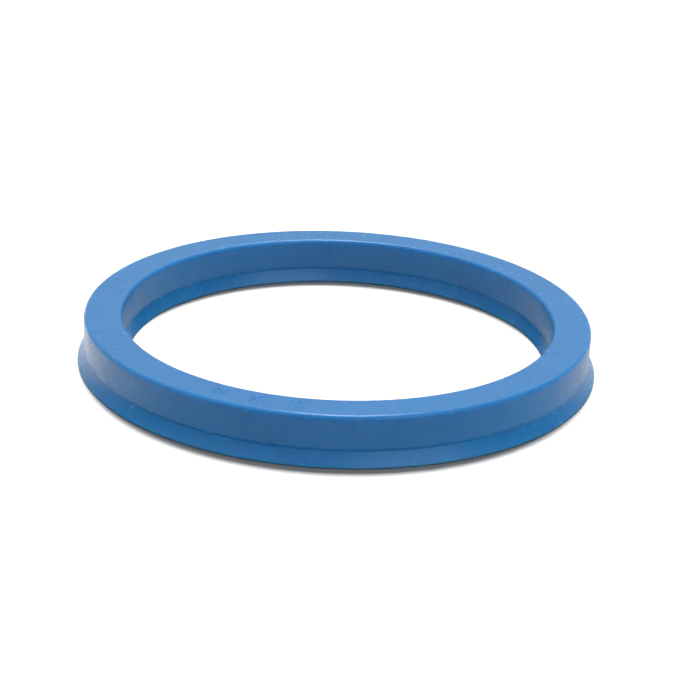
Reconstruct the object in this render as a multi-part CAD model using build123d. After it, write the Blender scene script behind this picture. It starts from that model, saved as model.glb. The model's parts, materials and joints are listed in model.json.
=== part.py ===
from build123d import *
import os

# One moulded polyurethane U-ring seal, for a 63 mm rod in a 75 mm bore, 7 mm high.
# The ring's axis is Z. It rests on its two lips at z = 0, with the flat heel on top.
# Radii are measured from the axis and heights from the base, all in millimetres.

# The heel, the solid upper part of the ring
heel_inner_radius = 31.75  # inner wall, 0.25 clear of the rod
heel_width = 5.5  # from the inner wall to the outer wall, which is 0.25 clear of the bore
seal_height = 7.0  # from the lip ends to the top of the heel
heel_edge_rounding = 0.6  # of the two top edges

# The two sealing lips, which lean away from each other below the heel
lip_height = 2.05  # of the creases where the lips leave the heel walls
outer_lip_reach = 1.07  # the outer sealing edge stands this far outside the heel
inner_lip_reach = 0.9  # the inner sealing edge stands this far inside the heel
sealing_edge_height = 0.25  # of both sealing edges above the base, where they are trimmed sharp
lip_end_bevel = 0.3  # how far the bevel under each sealing edge runs in
lip_end_width = 1.0  # flat land that each lip rests on

# The pressure groove between the lips, open at the base
groove_depth = 3.7
groove_root_width = 1.6
groove_root_rounding = 0.8

heel_outer_radius = heel_inner_radius + heel_width
middle_radius = heel_inner_radius + heel_width / 2

# Corners of the cross-section as (radius, height), the outer one before the inner one
top_corners = [(heel_outer_radius, seal_height), (heel_inner_radius, seal_height)]
creases = [(heel_outer_radius, lip_height), (heel_inner_radius, lip_height)]
sealing_edges = [
    (heel_outer_radius + outer_lip_reach, sealing_edge_height),
    (heel_inner_radius - inner_lip_reach, sealing_edge_height),
]
land_corners = [
    (sealing_edges[0][0] - lip_end_bevel, 0),
    (sealing_edges[1][0] + lip_end_bevel, 0),
]
mouth_corners = [
    (land_corners[0][0] - lip_end_width, 0),
    (land_corners[1][0] + lip_end_width, 0),
]
root_corners = [
    (middle_radius + groove_root_width / 2, groove_depth),
    (middle_radius - groove_root_width / 2, groove_depth),
]


def half_outline(side):
    """One side of the section, from the top of the heel round the lip to the groove's root."""
    corners = [top_corners, creases, sealing_edges, land_corners, mouth_corners, root_corners]
    return [pair[side] for pair in corners]


def round_corners(section, corners, radius):
    """Rounds the section's corners that lie at the given points."""
    nearest = [section.vertices().sort_by_distance(corner)[0] for corner in corners]
    fillet(nearest, radius)


def make_section():
    """The ring's cross-section, drawn as radius across and height up."""
    with BuildSketch(Plane.XZ) as section:
        with BuildLine():
            Polyline(half_outline(0) + half_outline(1)[::-1], close=True)
        make_face()
        round_corners(section, top_corners, heel_edge_rounding)
        round_corners(section, root_corners, groove_root_rounding)
    return section.sketch


def make_seal_ring():
    """The whole ring, turned from its section in one piece."""
    return revolve(make_section(), axis=Axis.Z)


os.makedirs("parts", exist_ok=True)
export_step(make_seal_ring(), "parts/seal_ring.step")
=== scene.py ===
import json
import math

import bmesh
import bpy
from mathutils import Matrix, Vector


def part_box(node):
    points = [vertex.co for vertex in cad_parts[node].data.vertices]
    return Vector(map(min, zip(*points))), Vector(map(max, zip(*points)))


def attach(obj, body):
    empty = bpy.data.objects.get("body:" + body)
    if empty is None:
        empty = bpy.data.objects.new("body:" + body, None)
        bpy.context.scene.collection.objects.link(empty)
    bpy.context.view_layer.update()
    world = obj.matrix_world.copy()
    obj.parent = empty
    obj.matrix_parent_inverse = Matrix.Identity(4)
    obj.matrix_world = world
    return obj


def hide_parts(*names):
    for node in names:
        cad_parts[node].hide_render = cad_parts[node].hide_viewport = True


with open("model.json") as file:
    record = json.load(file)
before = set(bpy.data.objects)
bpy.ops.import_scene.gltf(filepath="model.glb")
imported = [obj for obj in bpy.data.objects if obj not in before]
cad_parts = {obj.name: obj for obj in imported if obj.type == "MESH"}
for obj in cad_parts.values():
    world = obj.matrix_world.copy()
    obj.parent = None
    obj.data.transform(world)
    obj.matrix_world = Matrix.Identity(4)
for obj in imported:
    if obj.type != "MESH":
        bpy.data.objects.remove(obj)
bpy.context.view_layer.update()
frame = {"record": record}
mm = 0.001
print("frame loaded")

# The seal ring: a flat heel on top, two leaning lips below, one pressure groove between the lips.
# The heel walls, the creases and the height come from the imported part.
mounts = {mount["name"]: mount for mount in frame["record"]["mounts"]}
innerWall = mounts["rod_side_wall"]
outerWall = mounts["bore_side_wall"]
wallLength = outerWall["dims"]["length_mm"] * mm

seal = {
    "heelInner": innerWall["dims"]["r_mm"] * mm,
    "heelOuter": outerWall["dims"]["r_mm"] * mm,
    "height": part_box("seal_ring")[1].z,
    "crease": outerWall["pos_m"][2] - wallLength / 2,   # height where the lips start to lean
    "outerEdge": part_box("seal_ring")[1].x,              # radius of the outer sealing edge
    "innerReach": 0.9 * mm,                             # inner sealing edge, inside the heel wall
    "edgeHeight": 0.12 * mm,                            # sealing edges above the floor
    "endBevel": 0.3 * mm,
    "landWidth": 1.0 * mm,
    "grooveDepth": 3.7 * mm,
    "rootWidth": 1.6 * mm,
    "outerHeelRounding": 0.6 * mm,
    "innerHeelRounding": 0.6 * mm,
    "creaseRounding": 0.06 * mm,
    "creaseNick": 0.08 * mm,                            # how far a wall turns in just above its crease
    "nickHeight": 0.35 * mm,
    "flankHollow": 0.05 * mm,                           # how far a lip's flank dishes in
    "flankSteps": 7,                                    # straight pieces down each dished flank
    "edgeRounding": 0.08 * mm,
    "landRounding": 0.08 * mm,
    "mouthRounding": 0.15 * mm,
    "rootRounding": 0.8 * mm,
    "arcSteps": 8,                                      # for a quarter turn
    "turnSteps": 480,                                   # round the whole ring
    "sharpAngle": 32,                                   # degrees; steeper edges are shaded as corners
}


def dishedFlank(crease, edge):
    # bends in the line from a crease to its sealing edge, which dish it into the lip
    along = Vector(edge) - Vector(crease)
    outward = Vector((-along.y, along.x)).normalized()
    if outward.y < 0:
        outward.negate()
    bends = []
    for i in range(1, seal["flankSteps"]):
        share = i / seal["flankSteps"]
        place = Vector(crease) + along * share - outward * seal["flankHollow"] * 4 * share * (1 - share)
        bends.append((place.x, place.y, 0))
    return bends


def sealCorners():
    # corners of the section as (radius, height, rounding), outside first, then back up the inside
    outer, inner = seal["heelOuter"], seal["heelInner"]
    outerEdge, innerEdge = seal["outerEdge"], inner - seal["innerReach"]
    outerLand, innerLand = outerEdge - seal["endBevel"], innerEdge + seal["endBevel"]
    middle, halfRoot = (outer + inner) / 2, seal["rootWidth"] / 2
    crease, edge = seal["crease"], seal["edgeHeight"]
    outerNick, innerNick = outer - seal["creaseNick"], inner + seal["creaseNick"]
    return [
        (outer, seal["height"], seal["outerHeelRounding"]),
        (outer, crease + seal["nickHeight"], seal["creaseRounding"]),
        (outerNick, crease, seal["creaseRounding"]),
        *dishedFlank((outerNick, crease), (outerEdge, edge)),
        (outerEdge, edge, seal["edgeRounding"]),
        (outerLand, 0, seal["landRounding"]),
        (outerLand - seal["landWidth"], 0, seal["mouthRounding"]),
        (middle + halfRoot, seal["grooveDepth"], seal["rootRounding"]),
        (middle - halfRoot, seal["grooveDepth"], seal["rootRounding"]),
        (innerLand + seal["landWidth"], 0, seal["mouthRounding"]),
        (innerLand, 0, seal["landRounding"]),
        (innerEdge, edge, seal["edgeRounding"]),
        *dishedFlank((innerNick, crease), (innerEdge, edge))[::-1],
        (innerNick, crease, seal["creaseRounding"]),
        (inner, crease + seal["nickHeight"], seal["creaseRounding"]),
        (inner, seal["height"], seal["innerHeelRounding"]),
    ]


def roundCorner(before, corner, after, rounding, arcSteps):
    # points of the arc that touches both sides of the corner
    corner = Vector(corner)
    toBefore = (Vector(before) - corner).normalized()
    toAfter = (Vector(after) - corner).normalized()
    half = toBefore.angle(toAfter) / 2
    centre = corner + (toBefore + toAfter).normalized() * rounding / math.sin(half)
    start = corner + toBefore * rounding / math.tan(half) - centre
    turn = start.angle_signed(corner + toAfter * rounding / math.tan(half) - centre)
    steps = max(3, math.ceil(arcSteps * abs(turn) / (math.pi / 2)))
    return [centre + Matrix.Rotation(-turn * i / steps, 2) @ start for i in range(steps + 1)]


def sealSection():
    corners = sealCorners()
    points = []
    for i, (radius, height, rounding) in enumerate(corners):
        before, after = corners[i - 1][:2], corners[(i + 1) % len(corners)][:2]
        if rounding:
            points += roundCorner(before, (radius, height), after, rounding, seal["arcSteps"])
        else:
            points.append(Vector((radius, height)))
    return points


def turnSection(points, turnSteps):
    # a closed mesh, turned round the Z axis from its section
    mesh = bmesh.new()
    rings = []
    for i in range(turnSteps):
        angle = 2 * math.pi * i / turnSteps
        across = Vector((math.cos(angle), math.sin(angle), 0))
        rings.append([mesh.verts.new(across * p.x + Vector((0, 0, p.y))) for p in points])
    for i, ring in enumerate(rings):
        nextRing = rings[(i + 1) % turnSteps]
        for j in range(len(points)):
            k = (j + 1) % len(points)
            mesh.faces.new((ring[j], ring[k], nextRing[k], nextRing[j]))
    bmesh.ops.recalc_face_normals(mesh, faces=mesh.faces)
    return mesh


def makeObject(name, mesh):
    data = bpy.data.meshes.new(name)
    mesh.to_mesh(data)
    mesh.free()
    made = bpy.data.objects.new(name, data)
    bpy.context.scene.collection.objects.link(made)
    return made


sealRing = makeObject("seal_body", turnSection(sealSection(), seal["turnSteps"]))
print("seal turned:", len(sealRing.data.polygons), "faces")

# Moulded numerals: thin raised strokes on the heel, in plain two-figure groups.
numerals = {
    "groups": {-115.7: "10", -106.7: "20", -97.8: "30"},  # angle round the ring in degrees
    "radius": 34.3 * mm,        # of the middle of the figures
    "figureHeight": 1.8 * mm,
    "figureWidth": 0.7 * mm,
    "figurePitch": 1.0 * mm,
    "strokeRadius": 0.12 * mm,
    "relief": 0.07 * mm,        # how far the strokes stand above the heel
    "strokeSides": 8,
}


def arcPoints(centre, width, height, start, end, steps=14):
    # part of an oval with these half axes, between two angles in degrees
    return [
        (
            centre[0] + width * math.cos(math.radians(start + (end - start) * i / steps)),
            centre[1] + height * math.sin(math.radians(start + (end - start) * i / steps)),
        )
        for i in range(steps + 1)
    ]


# each figure in a cell one unit wide and one unit high, with its foot at zero
figures = {
    "0": arcPoints((0.5, 0.5), 0.5, 0.5, 90, 450, 24),
    "1": [(0.2, 0.78), (0.55, 1.0), (0.55, 0.0)],
    "2": arcPoints((0.5, 0.72), 0.5, 0.28, 170, -35) + [(0.0, 0.0), (1.0, 0.0)],
    "3": [
        *arcPoints((0.45, 0.76), 0.45, 0.24, 150, -85, 10),
        *arcPoints((0.45, 0.27), 0.52, 0.27, 85, -150, 12),
    ],
}


def addStroke(curve, points):
    spline = curve.splines.new("POLY")
    spline.points.add(len(points) - 1)
    for point, place in zip(spline.points, points):
        point.co = (*place, 1)


def makeNumerals():
    curve = bpy.data.curves.new("numerals", "CURVE")
    curve.dimensions = "3D"
    curve.bevel_depth = numerals["strokeRadius"]
    curve.bevel_resolution = numerals["strokeSides"] // 4
    curve.use_fill_caps = True
    strokeHeight = seal["height"] + numerals["relief"] - numerals["strokeRadius"]
    for degrees, text in numerals["groups"].items():
        outward = Matrix.Rotation(math.radians(degrees + 90), 4, "Z")  # turns -Y to the group's angle
        for i, figure in enumerate(text):
            middle = (i - (len(text) - 1) / 2) * numerals["figurePitch"]
            stroke = []
            for across, up in figures[figure]:
                x = middle + (across - 0.5) * numerals["figureWidth"]
                y = (up - 0.5) * numerals["figureHeight"] - numerals["radius"]
                stroke.append(outward @ Vector((x, y, strokeHeight)))
            addStroke(curve, stroke)
    made = bpy.data.objects.new("numerals", curve)
    bpy.context.scene.collection.objects.link(made)
    return made


def fuse(body, addition):
    # joins the addition into the body's own mesh, so that the two are one moulded solid
    graph = bpy.context.evaluated_depsgraph_get()
    tool = bpy.data.objects.new("tool", bpy.data.meshes.new_from_object(addition.evaluated_get(graph)))
    bpy.context.scene.collection.objects.link(tool)
    union = body.modifiers.new("fuse", "BOOLEAN")
    union.operation = "UNION"
    union.solver = "EXACT"
    union.use_self = True
    union.object = tool
    graph = bpy.context.evaluated_depsgraph_get()
    body.data = bpy.data.meshes.new_from_object(body.evaluated_get(graph))
    body.modifiers.clear()
    bpy.data.objects.remove(tool)
    bpy.data.objects.remove(addition)


fuse(sealRing, makeNumerals())
sealRing.data.shade_smooth()
sealRing.data.set_sharp_from_angle(angle=math.radians(seal["sharpAngle"]))
smoothing = sealRing.modifiers.new("flat faces stay flat", "WEIGHTED_NORMAL")
smoothing.keep_sharp = True
print("numerals fused:", len(sealRing.data.polygons), "faces")

# Blue polyurethane: satin, slightly translucent, with the fine skin of a turned steel mould.
polyurethane = {
    "colour": (0.009, 0.2, 0.5),
    "mottle": 0.03,            # share by which the colour drifts
    "mottleScale": 90,         # cycles a metre
    "mottleNoise": (0.3, 0.7),      # part of the noise that the drift spans
    "roughness": (0.24, 0.28),
    "roughnessScale": 360,
    "roughnessNoise": (0.35, 0.65),
    "scatter": (0.35, 0.8, 1.0),
    "scatterScale": 1.4 * mm,
    "ior": 1.42,
    "grainScale": 4200,
    "grainDepth": 0.0012 * mm,
    "turningScale": 5200,      # fine rings left by the mould's turning
    "turningDepth": 0.0008 * mm,
    "turningDrift": 0.0004,    # how fast the rings change on their way round
}


def makePolyurethane():
    material = bpy.data.materials.new("blue polyurethane")
    material.use_nodes = True
    nodes, links = material.node_tree.nodes, material.node_tree.links
    shader = nodes["Principled BSDF"]
    place = nodes.new("ShaderNodeTexCoord").outputs["Object"]

    def noise(vector, scale, detail, rough=0.5):
        texture = nodes.new("ShaderNodeTexNoise")
        texture.inputs["Scale"].default_value = scale
        texture.inputs["Detail"].default_value = detail
        texture.inputs["Roughness"].default_value = rough
        links.new(vector, texture.inputs["Vector"])
        return texture.outputs["Fac"]

    def maths(operation, first, second=None):
        node = nodes.new("ShaderNodeMath")
        node.operation = operation
        for value, socket in zip((first, second), node.inputs):
            if isinstance(value, bpy.types.NodeSocket):
                links.new(value, socket)
            elif value is not None:
                socket.default_value = value
        return node.outputs[0]

    # colour: a slow drift about the one blue
    drift = noise(place, polyurethane["mottleScale"], 3)
    shade = nodes.new("ShaderNodeMapRange")
    shade.inputs["From Min"].default_value = polyurethane["mottleNoise"][0]
    shade.inputs["From Max"].default_value = polyurethane["mottleNoise"][1]
    shade.inputs["To Min"].default_value = 1 - polyurethane["mottle"]
    shade.inputs["To Max"].default_value = 1 + polyurethane["mottle"]
    links.new(drift, shade.inputs["Value"])
    colour = nodes.new("ShaderNodeVectorMath")
    colour.operation = "SCALE"
    colour.inputs[0].default_value = polyurethane["colour"]
    links.new(shade.outputs["Result"], colour.inputs["Scale"])
    links.new(colour.outputs["Vector"], shader.inputs["Base Color"])

    # finish: a little less even where the mould was polished
    sheen = nodes.new("ShaderNodeMapRange")
    sheen.inputs["From Min"].default_value = polyurethane["roughnessNoise"][0]
    sheen.inputs["From Max"].default_value = polyurethane["roughnessNoise"][1]
    sheen.inputs["To Min"].default_value = polyurethane["roughness"][0]
    sheen.inputs["To Max"].default_value = polyurethane["roughness"][1]
    links.new(noise(place, polyurethane["roughnessScale"], 4), sheen.inputs["Value"])
    links.new(sheen.outputs["Result"], shader.inputs["Roughness"])

    # relief: fine grain, and turning marks that run round the ring
    split = nodes.new("ShaderNodeSeparateXYZ")
    links.new(place, split.inputs[0])
    x, y, z = split.outputs
    radius = maths("SQRT", maths("ADD", maths("MULTIPLY", x, x), maths("MULTIPLY", y, y)))
    around = nodes.new("ShaderNodeCombineXYZ")
    links.new(radius, around.inputs[0])
    links.new(z, around.inputs[1])
    drifting = maths("MULTIPLY", maths("ARCTAN2", y, x), polyurethane["turningDrift"])
    links.new(drifting, around.inputs[2])
    turning = noise(around.outputs[0], polyurethane["turningScale"], 2)
    grain = noise(place, polyurethane["grainScale"], 4, 0.6)
    grainBump = nodes.new("ShaderNodeBump")
    grainBump.inputs["Distance"].default_value = polyurethane["grainDepth"]
    links.new(grain, grainBump.inputs["Height"])
    turningBump = nodes.new("ShaderNodeBump")
    turningBump.inputs["Distance"].default_value = polyurethane["turningDepth"]
    links.new(turning, turningBump.inputs["Height"])
    links.new(grainBump.outputs["Normal"], turningBump.inputs["Normal"])
    links.new(turningBump.outputs["Normal"], shader.inputs["Normal"])

    shader.inputs["IOR"].default_value = polyurethane["ior"]
    shader.inputs["Subsurface Weight"].default_value = 1
    shader.inputs["Subsurface Radius"].default_value = polyurethane["scatter"]
    shader.inputs["Subsurface Scale"].default_value = polyurethane["scatterScale"]
    return material


sealRing.data.materials.clear()
sealRing.data.materials.append(makePolyurethane())
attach(sealRing, "root")
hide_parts("seal_ring")
print("seal finished")

# The table: a plain white floor that keeps the ring's close, soft shadow.
floor = {
    "side": 12.0,
    "gap": 0.01 * mm,           # under the lips, so that the two don't share a face
    "tint": (1.0, 0.99, 0.98),  # warm white, which shows only in the shadow
    "given": 0.042,             # share of its light that it gives back to the ring
    "reflected": (0.2, 0.3),    # its colour in the ring's reflections, rising further left: a painted reflection of a table lit more on the left
    "left": (-25 * mm, -45 * mm),   # where that painted brighter reflection starts and where it is brightest
    "shown": 0.29,              # its colour to the camera, under the strong table box
}


def mixBySight(nodes, links, given, reflected, shown):
    # one shader for light on its way to a surface, one in reflections and one for the camera
    path = nodes.new("ShaderNodeLightPath")
    mirrored = nodes.new("ShaderNodeMixShader")
    links.new(path.outputs["Is Glossy Ray"], mirrored.inputs[0])
    links.new(given.outputs[0], mirrored.inputs[1])
    links.new(reflected.outputs[0], mirrored.inputs[2])
    seen = nodes.new("ShaderNodeMixShader")
    links.new(path.outputs["Is Camera Ray"], seen.inputs[0])
    links.new(mirrored.outputs[0], seen.inputs[1])
    links.new(shown.outputs[0], seen.inputs[2])
    return seen.outputs[0]


def makeFloor():
    mesh = bmesh.new()
    bmesh.ops.create_grid(mesh, x_segments=1, y_segments=1, size=floor["side"] / 2)
    made = makeObject("floor", mesh)
    made.location.z = -floor["gap"]
    material = bpy.data.materials.new("white table")
    material.use_nodes = True
    nodes, links = material.node_tree.nodes, material.node_tree.links
    nodes.clear()

    split = nodes.new("ShaderNodeSeparateXYZ")
    links.new(nodes.new("ShaderNodeTexCoord").outputs["Object"], split.inputs[0])
    # painted reflection: in the ring's reflections only, the table grows brighter towards the left, as if
    # more light fell there
    rise = nodes.new("ShaderNodeMapRange")
    rise.inputs["From Min"].default_value, rise.inputs["From Max"].default_value = floor["left"]
    rise.inputs["To Min"].default_value, rise.inputs["To Max"].default_value = floor["reflected"]
    links.new(split.outputs["X"], rise.inputs["Value"])

    def white(share):
        colour = nodes.new("ShaderNodeVectorMath")
        colour.operation = "SCALE"
        colour.inputs[0].default_value = floor["tint"]
        if isinstance(share, bpy.types.NodeSocket):
            links.new(share, colour.inputs["Scale"])
        else:
            colour.inputs["Scale"].default_value = share
        shader = nodes.new("ShaderNodeBsdfDiffuse")
        links.new(colour.outputs["Vector"], shader.inputs["Color"])
        return shader

    shades = [white(share) for share in (floor["given"], rise.outputs["Result"], floor["shown"])]
    sight = mixBySight(nodes, links, *shades)
    links.new(sight, nodes.new("ShaderNodeOutputMaterial").inputs["Surface"])
    made.data.materials.append(material)
    return made


floorPlane = makeFloor()

# Light: a tall soft box high up behind the ring, a wide ceiling that leans to the front, a low box
# on each side and one at the right of the camera. A strong box far behind lights the table alone, so that
# it turns white but the ring doesn't. Places are as seen from the ring: elevation in degrees above the
# table, azimuth in degrees from +X towards +Y, at the back.
lamps = {
    "key box": {
        "width": 0.35, "height": 1.2, "distance": 1.5, "elevation": 68, "azimuth": 88, "brightness": 9.9,
        "lights": ("ring",), "mirrored": True,
    },
    "table box": {
        "width": 1.2, "height": 1.2, "distance": 6.0, "elevation": 67, "azimuth": 90, "brightness": 340,
        "lights": ("table",), "mirrored": False,
    },
    "soft ceiling": {
        "width": 1.3, "height": 1.3, "distance": 0.38, "elevation": 72, "azimuth": -90, "brightness": 0.57,
        "lights": ("ring", "table"), "mirrored": False,
    },
    "left box": {
        "width": 0.6, "height": 0.16, "distance": 0.6, "elevation": 8, "azimuth": -165, "brightness": 3.1,
        "lights": ("ring",), "mirrored": False,
    },
    "right box": {
        "width": 0.6, "height": 0.16, "distance": 0.6, "elevation": 8, "azimuth": -15, "brightness": 3.7,
        "lights": ("ring",), "mirrored": False,
    },
    "camera box": {
        "width": 0.4, "height": 0.4, "distance": 0.6, "elevation": 35, "azimuth": -55, "brightness": 1.0,
        "lights": ("ring",), "mirrored": True,
    },
}
lit = {"ring": sealRing, "table": floorPlane}


def makeLamp(name, made):
    elevation, azimuth = math.radians(made["elevation"]), math.radians(made["azimuth"])
    level = Vector((math.cos(azimuth), math.sin(azimuth), 0)) * math.cos(elevation)
    direction = level + Vector((0, 0, math.sin(elevation)))
    light = bpy.data.lights.new(name, "AREA")
    light.shape = "RECTANGLE"
    light.size, light.size_y = made["width"], made["height"]
    light.energy = made["brightness"] * math.pi * made["width"] * made["height"]
    light.cycles.use_multiple_importance_sampling = made["mirrored"]
    lamp = bpy.data.objects.new(name, light)
    lamp.location = direction * made["distance"]
    lamp.rotation_euler = direction.to_track_quat("Z", "Y").to_euler()
    lamp.visible_glossy = made["mirrored"]
    bpy.context.scene.collection.objects.link(lamp)
    receivers = bpy.data.collections.new("lit by the " + name)
    for key in made["lights"]:
        receivers.objects.link(lit[key])
    lamp.light_linking.receiver_collection = receivers


# The room: a soft even light, and what the ring mirrors, which grows brighter towards some sides.
room = {
    "light": 0.12,          # on the ring and the table
    "reflected": 0.27,      # on every side
    "brighter": [           # part of the direction, where it starts, where it is full, how bright
        ("Y", 0.2, 0.9, 0.36),      # the wall behind the ring
        ("Z", 0.36, 0.46, 0.53),    # overhead
        ("Z", 0.3, 0.05, 0.11),     # low down
        ("X", -0.2, -0.9, 0.13),    # on the left
    ],
}


def makeRoom():
    world = bpy.data.worlds.new("white room")
    world.use_nodes = True
    bpy.context.scene.world = world
    nodes, links = world.node_tree.nodes, world.node_tree.links
    nodes.clear()

    def glow(strength):
        shader = nodes.new("ShaderNodeBackground")
        shader.inputs["Color"].default_value = (1, 1, 1, 1)
        if isinstance(strength, bpy.types.NodeSocket):
            links.new(strength, shader.inputs["Strength"])
        else:
            shader.inputs["Strength"].default_value = strength
        return shader

    split = nodes.new("ShaderNodeSeparateXYZ")
    links.new(nodes.new("ShaderNodeTexCoord").outputs["Generated"], split.inputs[0])
    total = None
    for part, start, full, brightness in room["brighter"]:
        rise = nodes.new("ShaderNodeMapRange")
        rise.inputs["From Min"].default_value = start
        rise.inputs["From Max"].default_value = full
        rise.inputs["To Max"].default_value = brightness
        links.new(split.outputs[part], rise.inputs["Value"])
        add = nodes.new("ShaderNodeMath")
        add.inputs[0].default_value = room["reflected"]
        if total:
            links.new(total, add.inputs[0])
        links.new(rise.outputs["Result"], add.inputs[1])
        total = add.outputs[0]
    sight = mixBySight(nodes, links, glow(room["light"]), glow(total), glow(1))
    links.new(sight, nodes.new("ShaderNodeOutputWorld").inputs["Surface"])


for name, made in lamps.items():
    makeLamp(name, made)
makeRoom()
print("lights on")

# The camera, as it stood for the photograph.
camera = {
    "aim": (1.96 * mm, -15.06 * mm, 7.0 * mm),
    "distance": 232.84 * mm,
    "elevation": 22.61,     # degrees above the horizon
    "roll": 2.47,           # degrees
    "lens": 85.74,          # millimetres, on a 36 mm sensor
    "clip": (0.01, 20),     # nearest and farthest that it sees
}


def makeCamera():
    data = bpy.data.cameras.new("camera")
    data.lens = camera["lens"]
    data.clip_start, data.clip_end = camera["clip"]
    made = bpy.data.objects.new("camera", data)
    tilt = math.radians(camera["elevation"])
    back = Vector((0, -math.cos(tilt), math.sin(tilt)))
    turn = Matrix.Rotation(math.pi / 2 - tilt, 4, "X") @ Matrix.Rotation(math.radians(camera["roll"]), 4, "Z")
    made.matrix_world = Matrix.Translation(Vector(camera["aim"]) + back * camera["distance"]) @ turn
    bpy.context.scene.collection.objects.link(made)
    bpy.context.scene.camera = made


makeCamera()
bpy.context.scene.view_settings.view_transform = "Standard"
print("camera placed")
